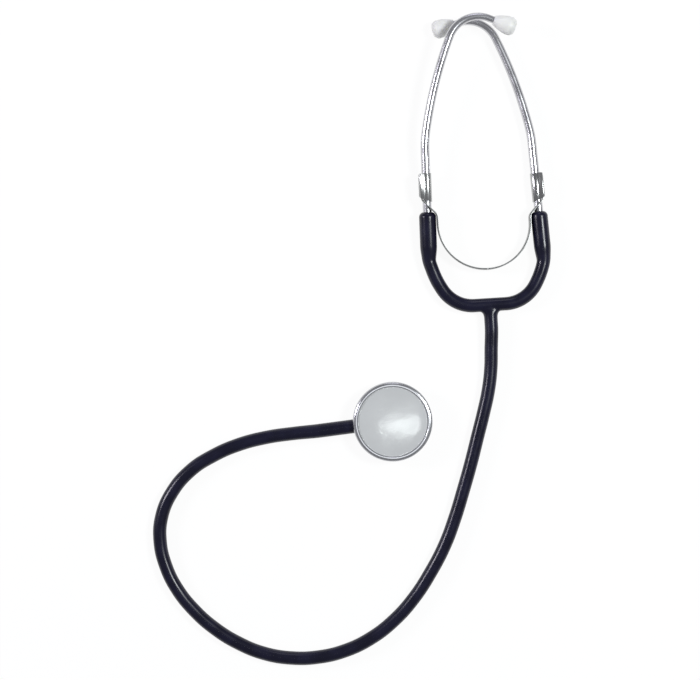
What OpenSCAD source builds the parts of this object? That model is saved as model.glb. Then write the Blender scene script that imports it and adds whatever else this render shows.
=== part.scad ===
// Single-head stethoscope, lying on a table with its ear tubes closed and crossed.
// The origin is the centre of the chestpiece's flat back, on the table. +Z is up, and the ear tubes point to +Y.

/* [Chestpiece] */
// Outer diameter of the retaining ring
head_d = 47; // [44:0.5:52]
// Height of the chestpiece, from its back to the top of its ring
head_h = 13; // [12.5:0.5:18]
// Diameter of the flat back that it rests on
back_d = 28; // [20:1:34]
// Diameter of the bowl under the rim
waist_d = 38; // [36:0.5:40]
// Width of the ring's lip over the edge of the diaphragm
ring_lip_w = 3; // [2.6:0.1:4]
// Thickness of the ring's lip
ring_lip_t = 0.9; // [0.6:0.1:1.2]
// Thickness of the ring's side wall
ring_wall = 1.2; // [0.8:0.1:1.6]
// Thickness of the shoulder that the ring seats on
shoulder_t = 0.8; // [0.6:0.1:1.2]
// Thickness of the diaphragm
diaphragm_t = 0.4; // [0.25:0.05:0.6]
// Thickness of the gasket under the diaphragm
gasket_t = 0.6; // [0.3:0.1:0.8]
// Depth of the conical sound chamber
chamber_depth = 2; // [1:0.25:3]

/* [Chestpiece stem] */
// Outer diameter of the stem between its barbs
stem_od = 4.8; // [4.2:0.1:5.2]
// Bore of the stem and of the channel to the chamber
stem_bore = 3.2; // [2.4:0.1:3.6]
// Length of the stem outside the housing
stem_len = 14; // [10:1:18]
// Height of each barb over the stem
barb_h = 0.3; // [0.1:0.05:0.4]
// Number of barbs on the stem
barbs = 3; // [2:1:4]
// Diameter of the stem's root, pressed into the housing
stem_root_d = 6; // [5.8:0.1:6.6]
// Depth of the stem's root in the housing
stem_root_len = 6; // [4:0.5:8]

/* [Tubing] */
// Outer diameter of the hose and of the arms of the Y
tube_od = 8; // [7.4:0.1:9]
// Bore of the hose
tube_bore = 4.4; // [3.6:0.1:4.8]
// How much the stem widens the hose that is pushed over it
end_swell = 0.3; // [0:0.05:0.6]
// Length of the straight end of the hose, over the stem and past it
tube_end_len = 24; // [20:1:28]

/* [Yoke] */
// Length of the straight bottom of the U, on each side of the stem
bar_half = 9.4; // [7:0.2:12]
// Radius of the lower corners of the U
corner_r = 21; // [18:1:24]
// Angle that the lower corners turn through
corner_turn = 58; // [50:1:64]
// Radius of the flatter sides of the U
side_r = 50; // [40:1:60]
// Angle that the sides turn through
side_turn = 15; // [10:1:20]
// Radius of the bend at the foot of each ear tube
foot_r = 14; // [10:1:20]
// Length of the stem under the U, from the U's centre line
yoke_stem_len = 13; // [11:0.5:15]
// Width that the webs in the crotch add to the stem on each side
crotch_w = 4; // [2:0.25:5]
// Outer diameter of the arms where they are stretched over the ear tubes
sleeve_od = 10; // [9:0.1:11]
// Length of the stretched arms
sleeve_len = 27; // [26:0.5:30]
// Length over which an arm widens to its stretched part
sleeve_swell = 4; // [3:0.5:6]
// Rounding of the stretched arms' ends
sleeve_rim = 3; // [2:0.25:3.5]

/* [Ear tubes] */
// Outer diameter of an ear tube along its straight part
ear_od = 5.2; // [4.8:0.1:5.6]
// Outer diameter of an ear tube at its tip
ear_tip_od = 4.2; // [3.8:0.1:4.6]
// Wall of the ear tubes
ear_wall = 0.7; // [0.5:0.05:0.9]
// Angle of the left straight part towards the other tube
left_toe_in = 1.1; // [0:0.1:3]
// Angle of the right straight part towards the other tube
right_toe_in = 2.3; // [0:0.1:3]
// Length of the left straight part, from the foot in the Y's arm
ear_straight = 63; // [58:1:68]
// How much further the right ear tube stands out of its arm
right_extra = 4; // [0:0.5:6]
// Radius of the first bend
shoulder_r = 65; // [60:5:90]
// Radius of the long sweep
sweep_r = 260; // [220:5:280]
// Angle of the long sweep
sweep_turn = 12.5; // [10:0.5:14]
// Heading of the tube where the last bend starts
hook_start = 23.5; // [20:0.5:27]
// Radius of the last bend, which points the tip at the ear
hook_r = 18; // [16:0.5:24]
// Heading of the left tip, from straight up towards the other tube
left_tip_heading = 114; // [108:1:118]
// Heading of the right tip
right_tip_heading = 104; // [100:1:110]

/* [Leaf spring] */
// Thickness of the strip
strip_t = 0.8; // [0.6:0.05:1]
// Width of the strip, which stands on edge
strip_w = 8; // [7.6:0.1:9]
// Height of the strip's lowest point over the centre line of the Y's bar
strip_base = 21.2; // [18:0.2:22]
// Angle at which the strip turns outward to cross the ear tube
cross_turn = 44; // [38:1:50]
// Radius of the small bends before and after the crossing
cross_r = 5; // [4:0.5:6]
// Length of the strip in the clip
strip_tail = 9; // [6:0.5:11]

/* [Spring clips] */
// Thickness of the sheet metal
sheet_t = 0.5; // [0.4:0.05:0.7]
// Length of a clip, from the place where the strip crosses the ear tube
clip_len = 18.6; // [16:0.2:22]
// Width of the pinched fin
fin_w = 0.9; // [0.6:0.1:2]

/* [Ear tips] */
// Length of an ear tip
tip_len = 13.4; // [12:0.2:15]
// Largest diameter of an ear tip
tip_d = 10.8; // [9.6:0.1:11.4]
// Diameter of the neck
tip_neck_d = 5.6; // [5.2:0.1:6.4]
// Depth of the socket for the ear tube
tip_socket = 8; // [6:0.5:9]
// Diameter of the sound outlet
tip_outlet = 1.8; // [1.2:0.1:2]
// Length of the nipple's root in the ear tube, whose end is straight for it
nipple_root = 2.5; // [2:0.5:5]
// Gap between the end of the nipple and the end of its socket
nipple_gap = 0.2; // [0.1:0.05:0.5]

/* [Fits] */
// Running clearance round a piece that turns, on the radius
run_gap = 0.05; // [0.02:0.01:0.09]
// Gap between faces that pass each other
face_gap = 0.4; // [0.3:0.05:0.6]
// Gap round the ear tube in the strip's eye, on the radius
eye_gap = 0.3; // [0.3:0.05:0.4]
// Gap round the strip in the clip
pocket_gap = 0.1; // [0.1:0.05:0.2]
// Gap between the strip and the stretched arms that it passes
strip_gap = 0.3; // [0.2:0.05:0.6]
// Gap round the diaphragm and its gasket in the ring
disc_gap = 0.1; // [0.05:0.05:0.3]

/* [Lay on the table] */
// Centre of the Y's junction, across the table
yoke_x = 57.8; // [50:0.1:70]
// Centre of the Y's junction, along the table
yoke_y = 69; // [60:0.5:80]
// Turn of the headset on the table
headset_turn = 3.5; // [0:0.1:6]
// Angle that the left ear tube is lifted by where it crosses over the right one
left_lean = 5.5; // [5:0.1:7]
// Angle that the right ear tube is lifted by
right_lean = 0.3; // [0:0.05:0.4]
// How far the soft Y lets the left ear tube stand ahead of the right one
left_lead = 4; // [0:0.25:5]
// Direction in which the hose leaves the chestpiece
stem_angle = 187.5; // [180:0.5:195]
// Height of the hose's lowest line over the table
hose_lift = 0.1; // [0:0.05:0.2]

/* [Hidden] */

$fn = 64;
left = -1;
right = 1;
eps = 0.01;
arm_sides = 20;
hose_sides = 12;
ear_sides = 24;

navy = [0.07, 0.07, 0.12];
chrome = [0.78, 0.79, 0.8];
spring_steel = [0.55, 0.56, 0.57];
milky = [0.9, 0.91, 0.9];
disc_grey = [0.77, 0.79, 0.8];
gasket_black = [0.12, 0.12, 0.12];

tube_r = tube_od / 2;
end_r = tube_r + end_swell / 2;
ear_r = ear_od / 2;
ear_tip_r = ear_tip_od / 2;
sleeve_r = sleeve_od / 2;
plane_z = sleeve_r;
foot_in = 2;
nipple_len = tip_socket + face_gap - nipple_gap;

// Heights in the chestpiece, from the stem's axis up to the diaphragm
stem_z = end_r + hose_lift;
shoulder_z = stem_z + end_r + face_gap;
ring_z = shoulder_z + shoulder_t;
head_r = head_d / 2;
spigot_r = head_r - ring_wall;
window_r = head_r - ring_lip_w;
disc_top = head_h - ring_lip_t;
disc_z = disc_top - diaphragm_t;
seat_z = disc_z - gasket_t;
disc_r = spigot_r - disc_gap;
chamber_step = 0.5;
chamber_r = window_r - chamber_step;
boss_out = 0.8;
boss_end = waist_d / 2 + boss_out;
tube_face = boss_end + face_gap;
barb_r = stem_od / 2 + barb_h;

// A path in the headset's plane is a list of [x, y, heading], with heading 0 along +Y and turning towards -X.
function ahead(h) = [-sin(h), cos(h)];
function beside(h) = [cos(h), sin(h)];
function line_end(p, len) = [p[0] - len * sin(p[2]), p[1] + len * cos(p[2]), p[2]];
function arc_end(p, r, turn) = let (s = turn < 0 ? -1 : 1)
    [p[0] + s * r * (cos(p[2] + turn) - cos(p[2])), p[1] + s * r * (sin(p[2] + turn) - sin(p[2])), p[2] + turn];
function arc(p, r, turn, step = 6) = let (n = ceil(abs(turn) / step))
    [for (i = [1:n]) arc_end(p, r, turn * i / n)];
function last(list) = list[len(list) - 1];
function lead(side) = side == left ? left_lead : 0;
function lean(side) = side == left ? left_lean : right_lean;
function toe_in(side) = side == left ? left_toe_in : right_toe_in;
function straight(side) = side == left ? ear_straight : ear_straight + right_extra;
function tip_heading(side) = side == left ? left_tip_heading : right_tip_heading;

// One arm of the Y, drawn on the right, from the end of the bar to the foot of the ear tube
function arm_path(side) = let (
    a = line_end([0, 0, -90], bar_half),
    b = arc(a, corner_r, corner_turn, 7.5),
    c = arc(last(b), side_r, side_turn, 7.5),
    d = line_end(last(c), lead(side)))
    concat([a], b, c, lead(side) > 0 ? [d] : [], arc(d, foot_r, 90 + toe_in(side) - corner_turn - side_turn));
function foot(side) = last(arm_path(side));

// One ear tube, drawn on the right, from its end in the Y's arm
function ear_path(side) = let (
    start = line_end(foot(side), foot_in),
    a = line_end(foot(side), straight(side)),
    b = arc(a, shoulder_r, hook_start - sweep_turn - toe_in(side), 4),
    c = arc(last(b), sweep_r, sweep_turn, 3),
    d = arc(last(c), hook_r, tip_heading(side) - hook_start, 7),
    e = line_end(last(d), nipple_root))
    concat([start, a], b, c, d, [e]);
function ear_end(side) = last(ear_path(side));

// The strip leaves each arm's sleeve free as it passes, and crosses the ear tube just over the sleeve's rounded end
strip_off = ear_r + pocket_gap + strip_t / 2;
tail_out = strip_off + strip_t / 2 + pocket_gap;
cross_heading = -cross_turn;
function strip_r(side) = foot(side)[0] - (sleeve_len - sleeve_rim) * sin(toe_in(side))
    - sleeve_r - strip_gap - strip_t / 2;
function cross_at(side) = let (
    angle = toe_in(side) - cross_heading,
    clear = sleeve_rim + strip_gap + strip_t / 2,
    rim_centre_r = sleeve_r - sleeve_rim)
    sleeve_len - sleeve_rim + (clear + rim_centre_r * cos(angle)) / sin(angle);
function cross_point(side) = line_end(foot(side), cross_at(side));

// The leaf spring's half on one side, drawn on the right, from the bottom of the U to its tail in the clip
function strip_path(side) = let (
    a = [0, strip_base, -90],
    b = arc(a, strip_r(side), 90),
    bend = arc_end([0, 0, 0], cross_r, cross_heading),
    across = (cross_point(side)[0] - strip_r(side) - bend[0]) / -sin(cross_heading),
    rise = cross_point(side)[1] - last(b)[1] - bend[1] - across * cos(cross_heading),
    c = line_end(last(b), rise),
    d = arc(c, cross_r, cross_heading),
    turn = toe_in(side) - cross_heading,
    after = arc_end([0, 0, cross_heading], cross_r, turn),
    out = beside(toe_in(side)),
    short = strip_off - out * ([last(d)[0] + after[0], last(d)[1] + after[1]] - [foot(side)[0], foot(side)[1]]),
    e = line_end(last(d), short / (out * ahead(cross_heading))),
    f = arc(e, cross_r, turn),
    g = line_end(last(f), strip_tail))
    concat([a], b, [c], d, [e], f, [g]);

// A point [x, y, z] of the headset, tilted up about the ear tube's foot by an angle
function tilted(p, side, tilt) = let (f = foot(side)[1], v = p[1] - f)
    [p[0], f + v * cos(tilt) - p[2] * sin(tilt), v * sin(tilt) + p[2] * cos(tilt)];

// A closed skin over a list of rings with the same number of points. A looped one has no caps.
module skin(rings, looped = false) {
    n = len(rings[0]);
    m = len(rings);
    sides = [for (i = [0:looped ? m - 1 : m - 2], j = [0:n - 1], k = [0, 1])
        let (a = i * n, b = (i + 1) % m * n, next = (j + 1) % n)
        k == 0 ? [a + j, a + next, b + next] : [a + j, b + next, b + j]];
    caps = looped ? [] : [[for (j = [n - 1:-1:0]) j], [for (j = [0:n - 1]) (m - 1) * n + j]];
    polyhedron(points = [for (ring = rings) each ring], faces = concat(sides, caps), convexity = 10);
}

// A round ring across a path of the headset's plane
function round_ring(p, r, sides) = [for (j = [0:sides - 1]) let (a = 360 * j / sides, w = beside(p[2]))
    [p[0] + r * cos(a) * w[0], p[1] + r * cos(a) * w[1], r * sin(a)]];

// A ring of the strip, with its four corners
function strip_ring(p, side, tilt) = let (b = beside(p[2]) * strip_t / 2)
    [for (c = [[-1, -1], [1, -1], [1, 1], [-1, 1]])
        tilted([p[0] + c[0] * b[0], p[1] + c[0] * b[1], c[1] * strip_w / 2], side, tilt)];

// The rings of half the strip. The U tilts up little by little to the lean of the ear tube.
function strip_rings(side) = let (path = strip_path(side), u_rings = 15)
    [for (i = [0:len(path) - 1]) strip_ring(path[i], side, lean(side) * min(1, i / u_rings))];
function mirrored(ring) = [for (q = ring) [-q[0], q[1], q[2]]];

module headset() {
    translate([yoke_x, yoke_y, plane_z]) rotate([0, 0, headset_turn]) children();
}

// What leans with one ear tube, drawn as on the right
module on_side(side) {
    foot_y = foot(side)[1];
    headset() mirror([side == left ? 1 : 0, 0, 0])
        translate([0, foot_y, 0]) rotate([lean(side), 0, 0]) translate([0, -foot_y, 0]) children();
}

// Local Z runs along the path at that point
module along(p) {
    translate([p[0], p[1], 0]) rotate([0, 0, p[2]]) rotate([-90, 0, 0]) children();
}

module on_ear_tube(side, from_foot) {
    on_side(side) along(line_end(foot(side), from_foot)) children();
}

module on_stem() {
    translate([0, 0, stem_z]) rotate([0, 0, stem_angle]) rotate([0, 90, 0]) children();
}

// The stem and the straight bar of the Y, moulded in one with its arms
module y_junction() {
    color(navy) headset() difference() {
        union() {
            rotate([90, 0, 0]) cylinder(r = tube_r, h = yoke_stem_len);
            translate([-bar_half, 0, 0]) rotate([0, 90, 0]) cylinder(r = tube_r, h = 2 * bar_half);
            crotch();
        }
        rotate([90, 0, 0]) cylinder(d = tube_bore, h = yoke_stem_len + 1);
        translate([-bar_half - 1, 0, 0]) rotate([0, 90, 0]) cylinder(d = tube_bore, h = 2 * bar_half + 2);
    }
}

// One arm of the Y. Its last bend also tilts up with the ear tube, so that it meets the sleeve squarely.
module y_arm(side) {
    path = arm_path(side);
    n = len(path);
    bend_rings = 4;
    tilts = [for (i = [0:n - 1]) lean(side) * max(0, i - n + 1 + bend_rings) / bend_rings];
    outer = [for (i = [0:n - 1]) [for (q = round_ring(path[i], tube_r, arm_sides)) tilted(q, side, tilts[i])]];
    inner = [for (i = [n - 1:-1:0])
        [for (q = round_ring(path[i], tube_bore / 2, arm_sides)) tilted(q, side, tilts[i])]];
    color(navy) headset() mirror([side == left ? 1 : 0, 0, 0]) skin(concat(outer, inner), looped = true);
}

// Webs between the stem and the bar, as thick as the tube
module crotch() {
    web_h = tube_r + crotch_w;
    web_in = 0.5;
    intersection() {
        translate([0, -web_h, 0]) rotate([-90, 0, 0])
            cylinder(r1 = tube_r, r2 = web_h, h = crotch_w + 1);
        cube([4 * web_h, 4 * web_h, tube_od - web_in], center = true);
    }
}

// The end of one arm of the Y, stretched over the ear tube
module arm_sleeve(side) {
    color(navy) on_ear_tube(side, 0) difference() {
        rotate_extrude() polygon(concat(
            [[0, 0], [tube_r, 0], [sleeve_r, sleeve_swell], [sleeve_r, sleeve_len - sleeve_rim]],
            [for (a = [15:15:90]) [sleeve_r - sleeve_rim * (1 - cos(a)), sleeve_len - sleeve_rim * (1 - sin(a))]],
            [[0, sleeve_len]]));
        translate([0, 0, -1]) cylinder(d = tube_bore, h = sleeve_len + 2);
        translate([0, 0, foot_in]) cylinder(r = ear_r, h = sleeve_len);
    }
}

// Route of the hose on the table, chosen by hand between the Y's stem and the straight end
route_low = tube_r + hose_lift;
yoke_end = [yoke_x + yoke_stem_len * sin(headset_turn), yoke_y - yoke_stem_len * cos(headset_turn), plane_z];
hose_end_r = tube_face + tube_end_len;
hose_end = [hose_end_r * cos(stem_angle), hose_end_r * sin(stem_angle), stem_z];
route = concat([yoke_end],
    [[58.5, 43, route_low + 0.4], [58.3, 31, route_low], [56.8, 18, route_low], [54, 5, route_low],
    [50.5, -9, route_low], [46.5, -25, route_low], [42, -41, route_low], [37, -57.5, route_low],
    [31, -73.5, route_low], [23, -89, route_low], [13, -104.5, route_low], [1, -118, route_low],
    [-13, -128.8, route_low], [-28, -136, route_low], [-44, -139.8, route_low], [-60, -140.3, route_low],
    [-76, -137.6, route_low], [-91, -131.6, route_low], [-105, -123, route_low], [-117.5, -112, route_low],
    [-127.5, -99.5, route_low], [-134.2, -86, route_low], [-137.6, -71.5, route_low], [-136.8, -57, route_low],
    [-130.8, -42.5, route_low], [-119.5, -29.2, route_low], [-106, -20.4, route_low], [-91, -13.9, route_low],
    [-75, -9.7, route_low], [-59.5, -7.4, route_low]],
    [hose_end]);

function unit(v) = v / norm(v);
function hose_ring(i, r, sides) = let (
    n = len(route),
    along = i == 0 ? [sin(headset_turn), -cos(headset_turn), 0]
        : i == n - 1 ? [-cos(stem_angle), -sin(stem_angle), 0]
        : unit(route[i + 1] - route[i - 1]),
    w = unit(cross(along, [0, 0, 1])),
    u = cross(w, along))
    [for (j = [0:sides - 1]) let (a = 360 * j / sides) route[i] + r * cos(a) * w + r * sin(a) * u];

module main_tube() {
    n = len(route);
    outer = [for (i = [0:n - 1]) hose_ring(i, tube_r, hose_sides)];
    inner = [for (i = [n - 1:-1:0]) hose_ring(i, tube_bore / 2, hose_sides)];
    color(navy) skin(concat(outer, inner), looped = true);
}

// The straight end of the hose, over the stem
module tube_end() {
    grip = stem_len + 1;
    mouth = 0.4;
    color(navy) on_stem() translate([0, 0, tube_face]) difference() {
        rotate_extrude() polygon([[0, 0], [end_r - mouth, 0], [end_r, mouth], [end_r, grip],
            [tube_r, tube_end_len], [0, tube_end_len]]);
        translate([0, 0, -1]) cylinder(r = barb_r + run_gap, h = grip + 1);
        translate([0, 0, -1]) cylinder(d = tube_bore, h = tube_end_len + 2);
    }
}

// An ear tube: its outer skin from foot to tip, and its inner skin back again
module ear_tube(side) {
    path = ear_path(side);
    n = len(path);
    taper = [for (i = [0:n - 1]) i < 2 ? 0 : (ear_r - ear_tip_r) * (i - 1) / (n - 2)];
    outer = [for (i = [0:n - 1]) round_ring(path[i], ear_r - taper[i], ear_sides)];
    inner = [for (i = [n - 1:-1:0]) round_ring(path[i], ear_r - ear_wall - taper[i], ear_sides)];
    color(chrome) on_side(side) skin(concat(outer, inner), looped = true);
}

// A nipple: its root is pressed into the ear tube, and the ear tip turns on its head
module tip_nipple(side) {
    color(chrome) on_side(side) along(ear_end(side)) difference() {
        union() {
            cylinder(r = ear_tip_r, h = nipple_len);
            translate([0, 0, -nipple_root]) cylinder(r = ear_tip_r - ear_wall - run_gap, h = nipple_root + eps);
        }
        translate([0, 0, -nipple_root - 1]) cylinder(d = tip_outlet, h = nipple_len + nipple_root + 2);
    }
}

// An ear tip: a neck that flares into a bulb with a flattened end
module ear_tip(side) {
    bulb_r = tip_d / 2;
    neck_r = tip_neck_d / 2;
    bulb_z = tip_len * 0.74;
    end_flat = bulb_r * 0.35;
    lead_in = 0.3;
    color(milky) on_side(side) along(ear_end(side)) translate([0, 0, face_gap]) difference() {
        rotate_extrude() polygon(concat([[0, 0], [neck_r - lead_in, 0]],
            [for (i = [0:12]) let (s = i / 12)
                [neck_r + (bulb_r - neck_r) * (1 - cos(180 * s)) / 2, lead_in + (bulb_z - lead_in) * s]],
            [for (a = [15:15:90]) [end_flat + (bulb_r - end_flat) * cos(a), bulb_z + (tip_len - bulb_z) * sin(a)]],
            [[0, tip_len]]));
        translate([0, 0, -1]) cylinder(r = ear_tip_r + run_gap, h = tip_socket + 1);
        cylinder(d = tip_outlet, h = tip_len + 1);
    }
}

// One strip on edge, with an eye on each side that the ear tube passes through
module leaf_spring() {
    rings_r = strip_rings(right);
    rings_l = [for (ring = strip_rings(left)) mirrored(ring)];
    both = concat([for (i = [len(rings_l) - 1:-1:1]) rings_l[i]], rings_r);
    color(spring_steel) difference() {
        headset() skin(both);
        for (side = [left, right]) strip_eye(side);
    }
}

// The eye: a slot along the strip, as long as the ear tube needs where it passes through on the slant
module strip_eye(side) {
    angle = toe_in(side) - cross_heading;
    eye_r = ear_r + eye_gap;
    inner_r = cross_r - strip_t / 2;
    free = acos((inner_r - pocket_gap / 2) / inner_r);
    low = eye_r - eye_r / sin(angle) - strip_t / 2 / tan(angle);
    high = (strip_off - cross_r * (1 - cos(angle))) / sin(angle) + cross_r * sin(angle - free) - eye_r;
    deep = ear_r;
    on_ear_tube(side, cross_at(side)) rotate([0, angle, 0]) {
        for (end = [low, high]) translate([-deep, 0, end]) rotate([0, 90, 0]) cylinder(r = eye_r, h = 2 * deep);
        translate([-deep, -eye_r, low]) cube([2 * deep, 2 * eye_r, high - low]);
    }
}

// The clip's section: round the ear tube, out past the strip's tail, and with the fin between its last two corners
function clip_outline(grow, fin) = let (
    steps = 12,
    up = strip_w / 2 + pocket_gap + grow,
    near = strip_off - cross_r * (1 - cos(cross_turn)) - grow,
    far = tail_out + grow,
    touch = atan2(up, near) + acos((ear_r + grow) / norm([near, up])),
    step = (360 - 2 * touch) / steps,
    r = (ear_r + grow) / cos(step / 2),
    root = fin > 0 ? sheet_t : sheet_t * 0.8,
    pinch = fin > 0 ? sheet_t : sheet_t / 3)
    concat([for (i = [0:steps]) [r * cos(touch + i * step), r * sin(touch + i * step)]],
    [[near, -up], [far, -up], [far, -root], [far + fin, -pinch], [far + fin, pinch], [far, root],
    [far, up], [near, up]]);
function at_height(outline, z) = [for (q = outline) [q[0], q[1], z]];

// The clip's lower end, along the strip's upper face where it crosses the tube
function at_cut(outline, side) = let (angle = toe_in(side) - cross_heading)
    [for (q = outline) [q[0], q[1], q[0] / tan(angle) + (strip_t / 2 + pocket_gap) / sin(angle)]];

// A clip: one sheet folded round the ear tube and the strip's tail, and pinched into a fin beyond it
module spring_clip(side) {
    fin_round = 0.8 * fin_w;
    rounding = [for (a = [0:45:90]) at_height(clip_outline(sheet_t, fin_w - fin_round * (1 - cos(a))),
        clip_len - fin_round * (1 - sin(a)))];
    color(chrome) on_ear_tube(side, cross_at(side)) skin(concat([at_cut(clip_outline(sheet_t, fin_w), side)],
        rounding, [at_height(clip_outline(0, 0), clip_len), at_cut(clip_outline(0, 0), side)]), looped = true);
}

// The metal head: a bowl with a flat back, a shoulder, a spigot for the ring, and a boss for the stem
module chest_housing() {
    back_r = back_d / 2;
    waist_r = waist_d / 2;
    shoulder_r = head_r - 0.6;
    boss_r = end_r - 0.1;
    boss_in = 4;
    bowl = [for (a = [0:10:90]) [back_r + (waist_r - back_r) * sin(a), shoulder_z * (1 - cos(a))]];
    color(chrome) difference() {
        union() {
            rotate_extrude() polygon(concat([[0, 0]], bowl,
                [[shoulder_r, shoulder_z], [shoulder_r, ring_z], [spigot_r, ring_z], [spigot_r, seat_z],
                [0, seat_z]]));
            on_stem() translate([0, 0, back_r - boss_in]) cylinder(r = boss_r, h = boss_end - back_r + boss_in);
        }
        translate([0, 0, seat_z - chamber_depth])
            cylinder(r1 = stem_bore / 2, r2 = chamber_r + eps, h = chamber_depth + eps);
        translate([0, 0, stem_z]) cylinder(d = stem_bore, h = seat_z - stem_z);
        on_stem() cylinder(d = stem_bore, h = boss_end + 1);
        on_stem() translate([0, 0, boss_end - stem_root_len]) cylinder(d = stem_root_d, h = stem_root_len + 1);
    }
}

// The hollow stem: a pressed root, and barbs that hold the hose
module chest_stem() {
    stem_r = stem_od / 2;
    pitch = stem_len / (barbs + 1);
    barb_face = 0.2;
    barb_taper = 0.7 * pitch;
    point = 0.4;
    barb_points = [for (i = [1:barbs]) each
        [[stem_r, i * pitch - barb_face], [barb_r, i * pitch], [stem_r, i * pitch + barb_taper]]];
    color(chrome) on_stem() translate([0, 0, boss_end]) rotate_extrude() polygon(concat(
        [[stem_bore / 2, -stem_root_len], [stem_root_d / 2, -stem_root_len], [stem_root_d / 2, 0], [stem_r, 0]],
        barb_points,
        [[stem_r - point, stem_len], [stem_bore / 2, stem_len]]));
}

module diaphragm_gasket() {
    color(gasket_black) translate([0, 0, seat_z]) difference() {
        cylinder(r = disc_r, h = gasket_t);
        translate([0, 0, -1]) cylinder(r = chamber_r, h = gasket_t + 2);
    }
}

module diaphragm() {
    color(disc_grey) translate([0, 0, disc_z]) cylinder(r = disc_r, h = diaphragm_t);
}

// The rim: a side wall that screws over the spigot, and a rounded lip with a fine bead at its inner edge
module retaining_ring() {
    edge = 1.4;
    foot_edge = 0.3;
    bead = 0.5;
    groove = 0.35;
    bead_top = 0.14;
    color(chrome) rotate_extrude() polygon(concat(
        [[spigot_r, ring_z], [head_r - foot_edge, ring_z], [head_r, ring_z + foot_edge], [head_r, head_h - edge]],
        [for (a = [15:15:90]) [head_r - edge * (1 - cos(a)), head_h - edge * (1 - sin(a))]],
        [[window_r + 2 * bead, head_h], [window_r + 1.5 * bead, head_h - groove],
        [window_r + bead, head_h - bead_top],
        [window_r + bead / 2, head_h - groove], [window_r, disc_top], [spigot_r, disc_top]]));
}

y_junction();
y_arm(left);  // left_arm
y_arm(right);  // right_arm
arm_sleeve(left);  // left_arm_sleeve
arm_sleeve(right);  // right_arm_sleeve
main_tube();
tube_end();
ear_tube(left);  // left_ear_tube
ear_tube(right);  // right_ear_tube
tip_nipple(left);  // left_tip_nipple
tip_nipple(right);  // right_tip_nipple
ear_tip(left);  // left_ear_tip
ear_tip(right);  // right_ear_tip
leaf_spring();
spring_clip(left);  // left_spring_clip
spring_clip(right);  // right_spring_clip
chest_housing();
chest_stem();
diaphragm_gasket();
diaphragm();
retaining_ring();
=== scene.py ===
"""The looks of a single-head stethoscope that lies on a table with its ear tubes closed and crossed."""

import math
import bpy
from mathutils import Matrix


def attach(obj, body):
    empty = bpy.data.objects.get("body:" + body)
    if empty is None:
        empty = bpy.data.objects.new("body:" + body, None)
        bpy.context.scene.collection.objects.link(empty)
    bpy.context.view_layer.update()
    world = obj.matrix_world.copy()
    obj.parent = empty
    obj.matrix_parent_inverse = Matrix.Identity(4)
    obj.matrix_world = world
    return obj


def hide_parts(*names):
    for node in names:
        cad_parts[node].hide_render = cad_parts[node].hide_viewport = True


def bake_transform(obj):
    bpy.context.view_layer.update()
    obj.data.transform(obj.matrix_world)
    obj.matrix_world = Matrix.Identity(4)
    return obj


bl_info = {
    "name": "Single-head stethoscope",
    "version": (1, 0, 0),
    "blender": (4, 5, 0),
    "location": "3D View > Sidebar > Stethoscope",
    "description": "Builds the visible pieces of a stethoscope over its packed frame",
    "category": "Add Mesh",
}

import bpy
from bpy.props import FloatProperty, FloatVectorProperty, PointerProperty
from mathutils import Matrix, Vector

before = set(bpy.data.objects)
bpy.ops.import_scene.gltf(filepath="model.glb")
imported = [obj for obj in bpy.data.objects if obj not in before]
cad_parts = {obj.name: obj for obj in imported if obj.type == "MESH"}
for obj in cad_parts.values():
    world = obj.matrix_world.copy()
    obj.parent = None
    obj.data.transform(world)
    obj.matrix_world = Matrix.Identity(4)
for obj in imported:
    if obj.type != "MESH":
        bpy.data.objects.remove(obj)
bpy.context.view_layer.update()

MM = 0.001
LEFT = -1
RIGHT = 1
NAME = {LEFT: "left", RIGHT: "right"}

# Where the headset lies: the centre of the Y, its turn on the table, and the lean of each ear tube
YOKE = Vector((57.8, 69.0, 5.0))
HEADSET_TURN = 3.5
LEAN = {LEFT: 5.5, RIGHT: 0.3}

# The Y and the feet of the ear tubes, in millimetres and degrees in the headset's plane. A bend is its
# radius and its turn. An arm widens from the first distance before its foot to the second one after it.
# A swing's bend would lie between two distances from the foot, counted along the ear tube's line; the script
# only works these places out.
BAR_HALF = 9.4
YOKE_STEM = 13.0
YOKE_SPARE = 2
CORNER = (21.0, 58.0)
SIDE_BEND = (50.0, 15.0)
FOOT_R = 14.0
FOOT_STEP = 3
LEAD = {LEFT: 4.0, RIGHT: 0.0}
TOE_IN = {LEFT: 1.1, RIGHT: 2.3}
WIDENING = (4.0, 7.0)
SWING_BEND = (-10.0, 13.0)

# The rings of the stem's flare: place along Y, width over the hose's, and height over the last ring's
STEM_FLARE = ((-8.0, 1.0, 1), (-6.8, 1.02, 1), (-5.8, 1.07, 1), (-5.0, 1.16, 1), (-4.3, 1.32, 1),
              (-3.6, 1.58, 0.94), (-1.5, 1.9, 1))

# The ear tubes: the start inside the sleeve, the bends, and the gap between a tube's end and its ear tip
TUBE_START = 2
STRAIGHT = {LEFT: 63.0, RIGHT: 67.0}
SHOULDER_R = 65.0
SWEEP = (260.0, 12.5)
HOOK_START = 23.5
HOOK_R = 18.0
TIP_HEADING = {LEFT: 114.0, RIGHT: 104.0}
TUBE_TAIL = 2.5
FACE_GAP = 0.4

# The leaf spring: its U, the slant on which it crosses the ear tube, how far before that the blend of a
# swing ends, its tail in the clip, and the gaps and the eye round the tube. The tail is the last points of
# the path, and keeps a share of the strip's width.
STRIP_BASE = 21.2
CROSS_HEADING = -44.0
CROSS_R = 5.0
BLEND_SHORT = 5
STRIP_TAIL = 9.0
TAIL_POINTS = 8
TAIL_SHARE = 0.8
STRIP_GAP = 0.3
POCKET_GAP = 0.1
EYE_GAP = 0.3
EYE_STRETCH = 1.72

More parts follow.
